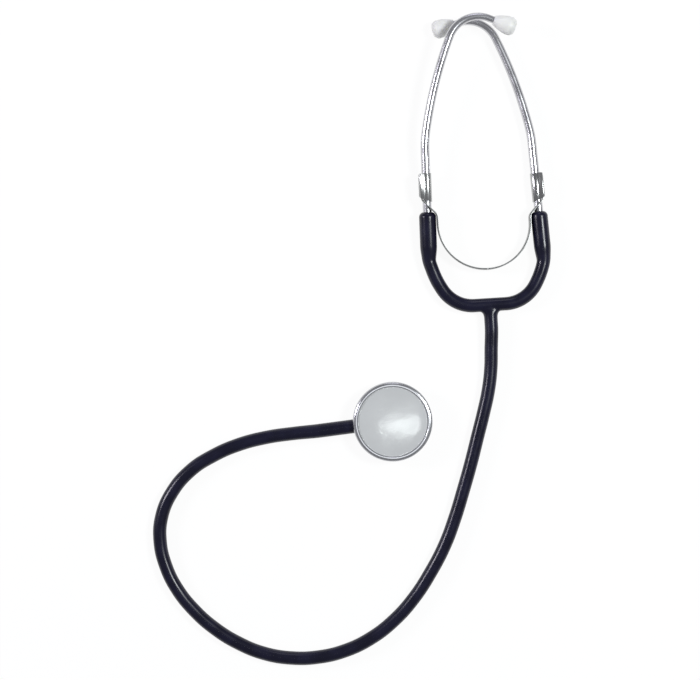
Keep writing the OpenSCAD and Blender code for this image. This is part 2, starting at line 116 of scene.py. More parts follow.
# The clips: the angle at which the sheet leaves the tube, its step there, the room over the strip's edge,
# the fold, half of the sheet's height in metres before it is cut, and the rounding of the two corners
CLIP_LEAVES = 70
CLIP_STEP = (0.25, 0.42)
CLIP_ROOM = 0.3
CLIP_FOLD = 0.7
CLIP_STOCK = 0.025
TOP_ROUNDING = 2.0
LOW_ROUNDING = 1.2

# The line of the chestpiece's stem and, along it, the ends of the boss and of the hose. The head lies on
# its back, and its heights count from the table.
STEM_ANGLE = 187.5
STEM_Z = 4.25
BOSS_END = 19.8
TUBE_FACE = 20.2
TUBE_END = 44.2
RING_LOW = 9.6
DISC_TOP = 12.1

# The hose, in metres: its length, the reach of its straight ends, and its route on the table from the Y to
# the straight end on the chestpiece's stem. The swelling is its width over the stem, over its width.
HOSE_REACH = 0.004
HOSE_SWELLING = 1.035
ROUTE = [(0.0585936, 0.0560242, 0.005), (0.0585, 0.043, 0.0045), (0.0583, 0.031, 0.0041),
         (0.0568, 0.018, 0.0041), (0.054, 0.005, 0.0041), (0.0505, -0.009, 0.0041),
         (0.0465, -0.025, 0.0041), (0.042, -0.041, 0.0041), (0.037, -0.0575, 0.0041),
         (0.031, -0.0735, 0.0041), (0.023, -0.089, 0.0041), (0.013, -0.1045, 0.0041),
         (0.001, -0.118, 0.0041), (-0.013, -0.1288, 0.0041), (-0.028, -0.136, 0.0041),
         (-0.044, -0.1398, 0.0041), (-0.060, -0.1403, 0.0041), (-0.076, -0.1376, 0.0041),
         (-0.091, -0.1316, 0.0041), (-0.105, -0.123, 0.0041), (-0.1175, -0.112, 0.0041),
         (-0.1275, -0.0995, 0.0041), (-0.1342, -0.086, 0.0041), (-0.1376, -0.0715, 0.0041),
         (-0.1368, -0.057, 0.0041), (-0.1308, -0.0425, 0.0041), (-0.1195, -0.0292, 0.0041),
         (-0.106, -0.0204, 0.0041), (-0.091, -0.0139, 0.0041), (-0.075, -0.0097, 0.0041),
         (-0.0595, -0.0074, 0.0041), (-0.0438219, -0.0057693, 0.00425)]

# The stage. A lamp is its name, its place and size in metres, its power in watts, and its colour.
FLOOR_Z = -0.0002
PAPER_SHARE = 0.9
PAPER_WHITE = 1.03
ROOM_LIGHT = 0.29
LAMPS = (("right_lamp", (0.66, 0.20, 1.03), (0.30, 0.30), 8.6, (0.95, 0.99, 1.0)),
         ("left_lamp", (-0.98, 0.29, 0.66), (0.26, 0.38), 6.4, (0.94, 0.91, 1.0)),
         ("ceiling_lamp", (0.0380, -0.0520, 1.0), (0.054, 0.018), 0.042, (0.94, 1.0, 0.99)),
         ("far_lamp", (0.05, 1.13, 0.45), (0.5, 0.5), 0.92, (0.88, 0.87, 1.0)))
LAMPS_AIM = Vector((0.03, 0.06, 0))
CAMERA_PLACE = (-0.02513, 0.04807, 1.0)
CAMERA_LENS = 86.44

# Facets round a full circle, and the distance in metres within which points are merged
ROUND = 64
DOUBLES = 1e-6


class StethoscopeSizes(bpy.types.PropertyGroup):
    """Sizes that a user may change"""

    tube_diameter: FloatProperty(name="Hose diameter", description="Outer diameter of the hose and the arms",
                                 default=0.008, min=0.006, max=0.01, unit="LENGTH")
    sleeve_diameter: FloatProperty(name="Sleeve diameter", description="Outer diameter of the stretched arms",
                                   default=0.010, min=0.008, max=0.012, unit="LENGTH")
    sleeve_length: FloatProperty(name="Sleeve length", description="Length of the stretched arms",
                                 default=0.027, min=0.02, max=0.03, unit="LENGTH")
    sleeve_rim: FloatProperty(name="Sleeve rounding", description="Rounding of the stretched arms' ends",
                              default=0.003, min=0.001, max=0.0035, unit="LENGTH")
    ear_tube_diameter: FloatProperty(name="Ear tube diameter", description="Outer diameter of an ear tube",
                                     default=0.0052, min=0.004, max=0.006, unit="LENGTH")
    ear_tube_tip: FloatProperty(name="Ear tube tip", description="Outer diameter of an ear tube at its tip",
                                default=0.0042, min=0.003, max=0.005, unit="LENGTH")
    strip_thickness: FloatProperty(name="Strip thickness", description="Thickness of the leaf spring",
                                   default=0.0008, min=0.0005, max=0.0012, unit="LENGTH")
    strip_width: FloatProperty(name="Strip width", description="Width of the leaf spring, on edge",
                               default=0.008, min=0.006, max=0.009, unit="LENGTH")
    sheet: FloatProperty(name="Clip sheet", description="Thickness of the clips' sheet metal",
                         default=0.0005, min=0.0003, max=0.0008, unit="LENGTH")
    clip_length: FloatProperty(name="Clip length", description="Length of a clip over the crossing",
                               default=0.0186, min=0.015, max=0.022, unit="LENGTH")
    fin_width: FloatProperty(name="Fin width", description="Width of the clips' pinched fin",
                             default=0.0004, min=0.0002, max=0.002, unit="LENGTH")
    tip_length: FloatProperty(name="Ear tip length", description="Length of an ear tip",
                              default=0.0134, min=0.012, max=0.015, unit="LENGTH")
    tip_diameter: FloatProperty(name="Ear tip diameter", description="Largest diameter of an ear tip",
                                default=0.0108, min=0.0096, max=0.0114, unit="LENGTH")
    head_diameter: FloatProperty(name="Head diameter", description="Outer diameter of the retaining ring",
                                 default=0.047, min=0.044, max=0.052, unit="LENGTH")


class StethoscopeColours(bpy.types.PropertyGroup):
    """Colours that a user may change"""

    tubing: FloatVectorProperty(name="Tubing", description="Colour of the moulded tubing", subtype="COLOR",
                                size=3, default=(0.0045, 0.0045, 0.0150), min=0.0, max=1.0)
    ear_tips: FloatVectorProperty(name="Ear tips", description="Colour of the ear tips", subtype="COLOR",
                                  size=3, default=(0.84, 0.84, 0.81), min=0.0, max=1.0)
    diaphragm: FloatVectorProperty(name="Diaphragm", description="Colour of the diaphragm", subtype="COLOR",
                                   size=3, default=(0.56, 0.575, 0.57), min=0.0, max=1.0)


def sizes():
    return bpy.context.scene.stethoscope_sizes


def colours():
    return bpy.context.scene.stethoscope_colours


# Paths in the headset's plane: (x, y, heading), with heading 0 along +Y and turning towards -X.
# Both sides are drawn on the right.

def unit(angle):
    """Cosine and sine of an angle in degrees"""
    return math.cos(math.radians(angle)), math.sin(math.radians(angle))


def line_end(p, length):
    a = math.radians(p[2])
    return (p[0] - length * math.sin(a), p[1] + length * math.cos(a), p[2])


def arc_end(p, radius, turn):
    sign = -1 if turn < 0 else 1
    a, b = math.radians(p[2]), math.radians(p[2] + turn)
    return (p[0] + sign * radius * (math.cos(b) - math.cos(a)),
            p[1] + sign * radius * (math.sin(b) - math.sin(a)), p[2] + turn)


def arc(p, radius, turn, step):
    """Places along an arc, at most that many degrees apart"""
    count = max(1, math.ceil(abs(turn) / step))
    return [arc_end(p, radius, turn * i / count) for i in range(1, count + 1)]


def foot_turn(side):
    """What the arm has left to turn in its last bend"""
    return 90 + TOE_IN[side] - CORNER[1] - SIDE_BEND[1]


def arm_path(side):
    """One arm of the Y, from the end of the bar to the foot of the ear tube"""
    path = [line_end((0, 0, -90), BAR_HALF)]
    path += arc(path[-1], *CORNER, 2)
    path += arc(path[-1], *SIDE_BEND, 2)
    if LEAD[side]:
        path.append(line_end(path[-1], LEAD[side]))
    return path + arc(path[-1], FOOT_R, foot_turn(side), FOOT_STEP)


def foot(side):
    return arm_path(side)[-1]


def ear_path(side):
    """One ear tube, as (place, share of the taper), from its end in the arm to its tip"""
    # Each bend: its radius, its turn, and the degrees over which the taper takes one of its equal shares
    bends = [(SHOULDER_R, HOOK_START - SWEEP[1] - TOE_IN[side], 4), (*SWEEP, 3),
             (HOOK_R, TIP_HEADING[side] - HOOK_START, 7)]
    fine = 6
    count = 3 + sum(math.ceil(turn / step) for _, turn, step in bends)
    at = line_end(foot(side), STRAIGHT[side])
    path = [(line_end(foot(side), TUBE_START), 0.0), (line_end(foot(side), STRAIGHT[side] / 2), 0.0),
            (at, 0.0)]
    ring = 1
    for radius, turn, step in bends:
        rings = math.ceil(turn / step)
        for i in range(1, rings * fine + 1):
            path.append((arc_end(at, radius, turn * i / (rings * fine)), (ring + i / fine - 1) / (count - 2)))
        at = path[-1][0]
        ring += rings
    path.append((line_end(at, TUBE_TAIL), 1.0))
    return path


def ear_end(side):
    return ear_path(side)[-1][0]


def crossing(side):
    """How far from the foot, along the ear tube, the strip crosses it"""
    s = sizes()
    angle = math.radians(TOE_IN[side] - CROSS_HEADING)
    rim, radius = s.sleeve_rim / MM, s.sleeve_diameter / 2 / MM
    clear = rim + STRIP_GAP + s.strip_thickness / 2 / MM
    return s.sleeve_length / MM - rim + (clear + (radius - rim) * math.cos(angle)) / math.sin(angle)


def strip_path(side):
    """The leaf spring's half, from the bottom of the U to its tail in the clip"""
    s = sizes()
    half_t, toe = s.strip_thickness / 2 / MM, math.radians(TOE_IN[side])
    f, cross = foot(side), line_end(foot(side), crossing(side))
    radius = (f[0] - (s.sleeve_length - s.sleeve_rim) / MM * math.sin(toe)
              - s.sleeve_diameter / 2 / MM - STRIP_GAP - half_t)
    head = math.radians(CROSS_HEADING)
    path = [(0, STRIP_BASE, -90)] + arc((0, STRIP_BASE, -90), radius, 90, 2)
    bend = arc_end((0, 0, 0), CROSS_R, CROSS_HEADING)
    across = (cross[0] - radius - bend[0]) / -math.sin(head)
    rise = cross[1] - path[-1][1] - bend[1] - across * math.cos(head)
    path.append(line_end(path[-1], rise))
    path += arc(path[-1], CROSS_R, CROSS_HEADING, 5)
    turn = TOE_IN[side] - CROSS_HEADING
    after = arc_end((0, 0, CROSS_HEADING), CROSS_R, turn)
    off = s.ear_tube_diameter / 2 / MM + POCKET_GAP + half_t
    out = Vector((math.cos(toe), math.sin(toe)))
    short = off - out.dot(Vector((path[-1][0] + after[0] - f[0], path[-1][1] + after[1] - f[1])))
    path.append(line_end(path[-1], short / out.dot(Vector((-math.sin(head), math.cos(head))))))
    path += arc(path[-1], CROSS_R, turn, 5)
    path.append(line_end(path[-1], STRIP_TAIL))
    return path


def tilt(point, side, angle):
    """A point of the headset's plane, tilted up about the ear tube's foot"""
    f, a = foot(side)[1], math.radians(angle)
    x, y, z = point
    return Vector((x, f + (y - f) * math.cos(a) - z * math.sin(a), (y - f) * math.sin(a) + z * math.cos(a)))


def headset_place(side):
    """From millimetres in the headset's plane, drawn on the right, to metres on the table"""
    mirror = Matrix.Diagonal((side, 1, 1, 1))
    return (Matrix.Diagonal((MM, MM, MM, 1)) @ Matrix.Translation(YOKE)
            @ Matrix.Rotation(math.radians(HEADSET_TURN), 4, "Z") @ mirror)


def on_table(point, side, angle=None):
    """A point of the headset's plane, leant up and put on the table, in metres"""
    angle = LEAN[side] if angle is None else angle
    return headset_place(side) @ tilt(point, side, angle)


def along_tube(side, place):
    """A frame in metres at a place of the ear tube: Z runs along the tube, and X away from the other tube"""
    a = math.radians(place[2])
    centre = on_table((place[0], place[1], 0), side)
    z = (on_table((place[0] - math.sin(a), place[1] + math.cos(a), 0), side) - centre).normalized()
    x = (on_table((place[0] + math.cos(a), place[1] + math.sin(a), 0), side) - centre).normalized()
    y = z.cross(x)
    return Matrix.Translation(centre) @ Matrix((x, y, z)).transposed().to_4x4()


def stem_frame(distance):
    """A frame in metres whose Z runs out along the chestpiece's stem"""
    a = math.radians(STEM_ANGLE)
    z = Vector((math.cos(a), math.sin(a), 0))
    x = Vector((-math.sin(a), math.cos(a), 0))
    centre = z * distance * MM + Vector((0, 0, STEM_Z * MM))
    return Matrix.Translation(centre) @ Matrix((x, z.cross(x), z)).transposed().to_4x4()


# Modelling steps

def deselect():
    if bpy.context.object and bpy.context.object.mode != "OBJECT":
        bpy.ops.object.mode_set(mode="OBJECT")
    bpy.ops.object.select_all(action="DESELECT")


def pick(*objects):
    """Selects these alone, the first as the active one"""
    deselect()
    for obj in objects:
        obj.select_set(True)
    bpy.context.view_layer.objects.active = objects[0]


def named(name):
    """Names the active object and its data"""
    piece = bpy.context.object
    piece.name = name
    piece.data.name = name
    return piece


def settle(piece, place=None):
    """Puts a piece in its place and moves that place into its mesh"""
    pick(piece)
    if place is not None:
        piece.matrix_world = place
    bpy.ops.object.transform_apply(location=True, rotation=True, scale=True)
    return piece


def modify(piece, kind, **settings):
    """Adds a modifier and applies it"""
    pick(piece)
    modifier = piece.modifiers.new(kind.title(), kind)
    for key, value in settings.items():
        setattr(modifier, key, value)
    bpy.ops.object.modifier_apply(modifier=modifier.name)


def bevel(piece, width, segments, angle):
    """Rounds the edges that turn by more than that angle"""
    modify(piece, "BEVEL", width=width, segments=segments, limit_method="ANGLE",
           angle_limit=math.radians(angle))


def tidy(piece):
    """Merges doubles and turns every face outwards"""
    pick(piece)
    bpy.ops.object.mode_set(mode="EDIT")
    bpy.ops.mesh.select_all(action="SELECT")
    bpy.ops.mesh.remove_doubles(threshold=DOUBLES)
    bpy.ops.mesh.normals_make_consistent(inside=False)
    bpy.ops.object.mode_set(mode="OBJECT")


def smooth(piece, angle):
    """Shades a piece smooth, apart from edges sharper than that"""
    pick(piece)
    bpy.ops.object.shade_smooth_by_angle(angle=math.radians(angle))


def bisect(piece, point, normal, fill=False):
    """Cuts a piece at a plane and drops what the normal points to"""
    pick(piece)
    bpy.ops.object.mode_set(mode="EDIT")
    bpy.ops.mesh.select_all(action="SELECT")
    bpy.ops.mesh.bisect(plane_co=point, plane_no=normal, use_fill=fill, clear_outer=True)
    bpy.ops.object.mode_set(mode="OBJECT")


def poly_line(name, points):
    """A curve of straight steps through points in metres"""
    deselect()
    bpy.ops.curve.primitive_nurbs_path_add()
    piece = named(name)
    piece.data.splines.clear()
    spline = piece.data.splines.new("POLY")
    spline.points.add(len(points) - 1)
    for knot, point in zip(spline.points, points):
        knot.co = (*point, 1)
    return piece


def meshed(piece, name):
    """Turns a curve into a mesh"""
    pick(piece)
    bpy.ops.object.convert(target="MESH")
    return named(name)


def swept(name, points, radii, sides=12):
    """A round tube along points on the table, with a radius at each"""
    piece = poly_line(name, points)
    curve = piece.data
    for knot, radius in zip(curve.splines[0].points, radii):
        knot.radius = radius / radii[0]
    curve.dimensions = "3D"
    curve.twist_mode = "MINIMUM"
    curve.bevel_depth = radii[0]
    curve.bevel_resolution = sides
    curve.use_fill_caps = True
    piece = meshed(piece, name)
    tidy(piece)
    smooth(piece, 50)
    return piece


def spun(name, profile, steps, place=None):
    """A turned piece: its profile, drawn in millimetres as (radius, height), is spun round Z"""
    deselect()
    bpy.ops.mesh.primitive_plane_add(size=MM)
    piece = named(name)
    bpy.ops.object.mode_set(mode="EDIT")
    bpy.ops.mesh.select_all(action="SELECT")
    bpy.ops.mesh.merge(type="CENTER")
    r, z = profile[0]
    bpy.ops.transform.translate(value=(r * MM, 0, z * MM))
    for (r0, z0), (r1, z1) in zip(profile[:-1], profile[1:]):
        bpy.ops.mesh.extrude_region_move(
            TRANSFORM_OT_translate={"value": ((r1 - r0) * MM, 0, (z1 - z0) * MM)})
    bpy.ops.mesh.select_all(action="SELECT")
    bpy.ops.mesh.spin(steps=steps, angle=2 * math.pi, center=(0, 0, 0), axis=(0, 0, 1))
    bpy.ops.object.mode_set(mode="OBJECT")
    tidy(piece)
    smooth(piece, 30)
    return settle(piece, place)


def ribbon(name, points, half_width):
    """A band across a flat line in millimetres, which reaches half its width up and half down"""
    piece = poly_line(name, [(x * MM, y * MM, 0) for x, y in points])
    curve = piece.data
    curve.dimensions = "2D"
    curve.fill_mode = "NONE"
    curve.extrude = half_width
    return meshed(piece, name)


# Materials

def linear(code):
    """An sRGB hex colour as Blender's linear one"""
    parts = [int(code[i:i + 2], 16) / 255 for i in (1, 3, 5)]
    return tuple(p / 12.92 if p <= 0.04045 else ((p + 0.055) / 1.055) ** 2.4 for p in parts) + (1.0,)


def add(tree, kind, settings=None, **inputs):
    """Adds a node with its settings. An input is a value or another node's socket, and goes by its name or,
    as in i3, by its number."""
    node = tree.nodes.new(kind)
    for key, value in (settings or {}).items():
        setattr(node, key, value)
    for key, value in inputs.items():
        numbered = key[0] == "i" and key[1:].isdigit()
        socket = node.inputs[int(key[1:]) if numbered else key.replace("_", " ")]
        if isinstance(value, bpy.types.NodeSocket):
            tree.links.new(value, socket)
        else:
            socket.default_value = value
    return node


def new_material(name):
    material = bpy.data.materials.new(name)
    material.use_nodes = True
    material.node_tree.nodes.clear()
    return material, material.node_tree


def finish_material(tree, shader):
    add(tree, "ShaderNodeOutputMaterial", Surface=shader.outputs[0])


def noise_of(tree, size_mm, detail=2.0, stretch=(1, 1, 1)):
    """Noise on Object coordinates whose patches are about that many millimetres across"""
    where = add(tree, "ShaderNodeTexCoord")
    scaled = add(tree, "ShaderNodeMapping", Vector=where.outputs["Object"], Scale=stretch)
    noise = add(tree, "ShaderNodeTexNoise", Vector=scaled.outputs[0], Scale=1000 / size_mm, Detail=detail)
    return noise.outputs["Fac"]


def spread(tree, value, low, high):
    """A noise value between two limits, with soft ends"""
    return add(tree, "ShaderNodeMapRange", {"interpolation_type": "SMOOTHERSTEP"}, i0=value, i1=0.25, i2=0.75,
               i3=low, i4=high).outputs[0]


def toned(tree, colour, noise, share):
    """A colour that turns to that share of itself in patches"""
    other = [min(1.0, c * share) for c in colour]
    return add(tree, "ShaderNodeMix", {"data_type": "RGBA"}, Factor=spread(tree, noise, 0, 1),
               i6=(*colour, 1.0), i7=(*other, 1.0)).outputs[2]


def pvc():
    """Soft PVC, dip-moulded and glossy, nearly black with a navy cast. The mould's skin waves a little,
    which makes a highlight thin and slightly uneven, and handling leaves it paler and duller in patches."""
    material, tree = new_material("Moulded soft PVC, dark navy")
    patches = noise_of(tree, 9)
    colour = toned(tree, colours().tubing, patches, 1.6)
    wave = add(tree, "ShaderNodeBump", Strength=0.1, Distance=0.0003, Height=noise_of(tree, 14, 0))
    shader = add(tree, "ShaderNodeBsdfPrincipled", Base_Color=colour,
                 Roughness=spread(tree, patches, 0.22, 0.29), IOR=1.5,
                 Specular_IOR_Level=0.33, Normal=wave.outputs[0])
    finish_material(tree, shader)
    return material


def chrome(name, code, rough, swells=0.06):
    """Plated metal, from a clear to a soft mirror: faint handling haze, and the low swells of polishing"""
    material, tree = new_material(name)
    swell = add(tree, "ShaderNodeBump", Strength=swells, Distance=0.0002, Height=noise_of(tree, 9, 0))
    shader = add(tree, "ShaderNodeBsdfPrincipled", Base_Color=linear(code), Metallic=1.0,
                 Roughness=spread(tree, noise_of(tree, 8, 0), *rough), Normal=swell.outputs[0])
    finish_material(tree, shader)
    return material


def spring_steel():
    """Spring steel strip, rolled and satin: fine lines run along its length"""
    material, tree = new_material("Rolled spring steel strip, satin")
    lines = noise_of(tree, 0.5, 2, (0.15, 0.15, 1.0))
    bump = add(tree, "ShaderNodeBump", Strength=0.25, Distance=0.00004, Height=lines)
    shader = add(tree, "ShaderNodeBsdfPrincipled", Base_Color=linear("#8a8b8a"), Metallic=1.0,
                 Roughness=spread(tree, lines, 0.3, 0.42), Normal=bump.outputs[0])
    finish_material(tree, shader)
    return material


def milky_plastic():
    """Soft milky PVC: light enters and spreads, so the tips glow softly and have no hard shade"""
    material, tree = new_material("Moulded soft PVC, milky")
    cloud = noise_of(tree, 3)
    colour = toned(tree, colours().ear_tips, cloud, 0.93)
    bump = add(tree, "ShaderNodeBump", Strength=0.2, Distance=0.0001, Height=noise_of(tree, 1.5, 2))
    shader = add(tree, "ShaderNodeBsdfPrincipled", Base_Color=colour, IOR=1.45,
                 Roughness=spread(tree, cloud, 0.38, 0.5), Subsurface_Weight=0.6,
                 Subsurface_Radius=(1.0, 1.0, 0.9), Subsurface_Scale=0.002, Normal=bump.outputs[0])
    finish_material(tree, shader)
    return material


def laminate():
    """The diaphragm: a thin, stiff glass-and-resin sheet, pale grey. It is held only at its rim and waves a
    little inside it, so its gloss breaks a light up into a wavy patch."""
    material, tree = new_material("Pressed glass-fibre laminate, pale grey")
    colour = toned(tree, colours().diaphragm, noise_of(tree, 14, 2), 0.95)
    wave = add(tree, "ShaderNodeBump", Strength=0.14, Distance=0.0001, Height=noise_of(tree, 5, 0.6))
    shader = add(tree, "ShaderNodeBsdfPrincipled", Base_Color=colour, IOR=1.5,
                 Roughness=0.07, Normal=wave.outputs[0])
    finish_material(tree, shader)
    return material


def gasket_rubber():
    """Thin black rubber, cut from sheet and matt"""
    material, tree = new_material("Cut sheet rubber, black")
    bump = add(tree, "ShaderNodeBump", Strength=0.4, Distance=0.00005, Height=noise_of(tree, 0.4, 3))
    shader = add(tree, "ShaderNodeBsdfPrincipled", Base_Color=linear("#1b1b1c"),
                 Roughness=spread(tree, noise_of(tree, 2), 0.6, 0.8), IOR=1.52, Normal=bump.outputs[0])
    finish_material(tree, shader)
    return material


FINISHES = {
    "tubing": pvc,
    "tube_chrome": lambda: chrome("Chromed brass tube, polished", "#cbcbce", (0.2, 0.28)),
    "clip_metal": lambda: chrome("Nickel-plated sheet, folded", "#b4b5b4", (0.14, 0.24)),
    "head_chrome": lambda: chrome("Chromed zinc casting, polished", "#c3c4c6", (0.08, 0.14)),
    "ring_chrome": lambda: chrome("Chromed turned ring, polished", "#c8c9cc", (0.18, 0.26), 0.03),
    # The land's near-white colour is a painted highlight: it stands for the ring of reflected light on the
    # ring's top
    "ring_land_painted_highlight": lambda: chrome("Chromed turned land, satin, whitened as painted highlight", "#f0f1f4", (0.5, 0.58)),
    "spring_steel": spring_steel,
    "tip_plastic": milky_plastic,
    "disc": laminate,
    "gasket": gasket_rubber,
}
MADE = {}


def material_of(finish):
    """The material of a finish, made when it is first needed"""
    if finish not in MADE:
        MADE[finish] = FINISHES[finish]()
    return MADE[finish]


def dress(piece, finish):
    """Gives a piece one finish all over"""
    material = material_of(finish)
    piece.data.materials.clear()
    piece.data.materials.append(material)


def hand_over(piece, finish, *nodes):
    """A finished piece takes its finish and stands for its nodes"""
    dress(piece, finish)
    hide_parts(*nodes)


# The stage and the pieces

class STETHOSCOPE_OT_stage(bpy.types.Operator):
    """Adds the floor, the lights and the camera that looks straight down"""

    bl_idname = "stethoscope.stage"
    bl_label = "Stage"

    def execute(self, context):
        scene = context.scene
        scene.view_settings.view_transform = "Standard"
        deselect()
        bpy.ops.mesh.primitive_plane_add(size=6, location=(0, 0, FLOOR_Z))
        floor = named("floor")
        settle(floor)
        floor.data.materials.append(self.floor_paper())
        self.world(scene)
        for lamp in LAMPS:
            self.lamp(*lamp)
        bpy.ops.object.camera_add(location=CAMERA_PLACE, rotation=(0, 0, 0))
        camera = bpy.context.object
        camera.name = "camera"
        camera.data.sensor_width = 36
        camera.data.lens = CAMERA_LENS
        camera.data.clip_start = 0.01
        scene.camera = camera
        return {"FINISHED"}

    def floor_paper(self):
        """White paper: white to the eye and in metal, with a trace of the object's shadow"""
        material, tree = new_material("Matt white paper")
        path = add(tree, "ShaderNodeLightPath")
        seen = add(tree, "ShaderNodeMath", {"operation": "MAXIMUM"}, i0=path.outputs["Is Camera Ray"],
                   i1=path.outputs["Is Glossy Ray"])
        seen = add(tree, "ShaderNodeMath", {"operation": "MAXIMUM"}, i0=seen.outputs[0],
                   i1=path.outputs["Is Transmission Ray"])
        share = add(tree, "ShaderNodeMath", {"operation": "MULTIPLY"}, i0=seen.outputs[0], i1=PAPER_SHARE)
        paper = add(tree, "ShaderNodeBsdfDiffuse", Color=(0.8, 0.8, 0.8, 1))
        white = add(tree, "ShaderNodeEmission", Color=(1, 1, 1, 1), Strength=PAPER_WHITE)
        mixed = add(tree, "ShaderNodeMixShader", i0=share.outputs[0], i1=paper.outputs[0],
                    i2=white.outputs[0])
        finish_material(tree, mixed)
        return material

    def world(self, scene):
        """A plain grey room, with white wherever the camera looks past the floor"""
        world = bpy.data.worlds.new("Room")
        world.use_nodes = True
        tree = world.node_tree
        tree.nodes.clear()
        path = add(tree, "ShaderNodeLightPath")
        room = add(tree, "ShaderNodeBackground", Color=(0.94, 0.95, 1.0, 1), Strength=ROOM_LIGHT)
        white = add(tree, "ShaderNodeBackground", Color=(1, 1, 1, 1), Strength=1.0)
        mixed = add(tree, "ShaderNodeMixShader", i0=path.outputs["Is Camera Ray"], i1=room.outputs[0],
                    i2=white.outputs[0])
        add(tree, "ShaderNodeOutputWorld", Surface=mixed.outputs[0])
        scene.world = world

    def lamp(self, name, place, size, power, colour):
        bpy.ops.object.light_add(type="AREA", location=place)
        lamp = bpy.context.object
        lamp.name = name
        lamp.data.shape = "ELLIPSE"
        lamp.data.size, lamp.data.size_y = size
        lamp.data.energy = power
        lamp.data.color = colour
        lamp.rotation_euler = (LAMPS_AIM - Vector(place)).to_track_quat("-Z", "Y").to_euler()


class STETHOSCOPE_OT_hose(bpy.types.Operator):
    """Lays the hose from the Y to the chestpiece, as one length that swells a little over the stem"""

    bl_idname = "stethoscope.hose"
    bl_label = "Hose"

    def execute(self, context):
        s = sizes()
        end = stem_frame(TUBE_FACE)
        middle = stem_frame((TUBE_FACE + TUBE_END) / 2)
        points = [Vector(p) for p in ROUTE] + [middle.translation, end.translation]
        deselect()
        bpy.ops.curve.primitive_bezier_curve_add()
        piece = named("hose")
        curve = piece.data
        curve.splines.clear()
        spline = curve.splines.new("BEZIER")
        spline.bezier_points.add(len(points) - 1)
        for knot, point in zip(spline.bezier_points, points):
            knot.co = point
            knot.handle_left_type = knot.handle_right_type = "AUTO"
        cos, sin = unit(HEADSET_TURN)
        self.straight(spline.bezier_points[0], Vector((sin, -cos, 0)))
        for knot in spline.bezier_points[-3:]:
            knot.radius = HOSE_SWELLING
            self.straight(knot, -Vector(end.col[2][:3]))
        spline.resolution_u = 10
        curve.dimensions = "3D"
        curve.bevel_depth = s.tube_diameter / 2
        curve.bevel_resolution = 10
        curve.use_fill_caps = True
        settle(piece)
        hand_over(piece, "tubing", "main_tube", "tube_end")
        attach(piece, "base")
        return {"FINISHED"}

    def straight(self, knot, along):
        """Makes the hose run that way at a knot"""
        knot.handle_left_type = knot.handle_right_type = "FREE"
        knot.handle_left = knot.co - along * HOSE_REACH
        knot.handle_right = knot.co + along * HOSE_REACH


class STETHOSCOPE_OT_junction(bpy.types.Operator):
    """Models the middle of the Y: the bar, and the stem that flares into it"""

    bl_idname = "stethoscope.junction"
    bl_label = "Y junction"

    def execute(self, context):
        r = sizes().tube_diameter / 2
        deselect()
        bpy.ops.mesh.primitive_cylinder_add(vertices=ROUND, radius=r, depth=2 * (BAR_HALF + YOKE_SPARE) * MM,
                                            rotation=(0, math.pi / 2, 0))
        bar = named("y_bar")
        settle(bar)
        deselect()
        at, wide = -(YOKE_STEM + YOKE_SPARE), 1.0
        bpy.ops.mesh.primitive_circle_add(vertices=ROUND, radius=r, fill_type="NGON",
                                          location=(0, at * MM, 0), rotation=(math.pi / 2, 0, 0))
        stem = named("y_stem")
        settle(stem)
        bpy.ops.object.mode_set(mode="EDIT")
        bpy.ops.mesh.select_all(action="SELECT")
        # The stem widens across, never up, on its way into the bar
        for y, width, height in STEM_FLARE:
            bpy.ops.mesh.extrude_region_move(TRANSFORM_OT_translate={"value": (0, (y - at) * MM, 0)})
            bpy.ops.transform.resize(value=(width / wide, 1, height))
            at, wide = y, width
        bpy.ops.object.mode_set(mode="OBJECT")
        pick(bar, stem)
        bpy.ops.object.join()
        piece = named("y_junction_moulding")
        tidy(piece)
        modify(piece, "REMESH", mode="VOXEL", voxel_size=0.0003)
        modify(piece, "SMOOTH", factor=0.5, iterations=14)
        for side in (LEFT, RIGHT):
            bisect(piece, (side * BAR_HALF * MM, 0, 0), (side, 0, 0), fill=True)
        bisect(piece, (0, -YOKE_STEM * MM, 0), (0, -1, 0), fill=True)
        smooth(piece, 60)
        turn = Matrix.Translation(YOKE * MM) @ Matrix.Rotation(math.radians(HEADSET_TURN), 4, "Z")
        settle(piece, turn)
        hand_over(piece, "tubing", "y_junction")
        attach(piece, "base")
        return {"FINISHED"}


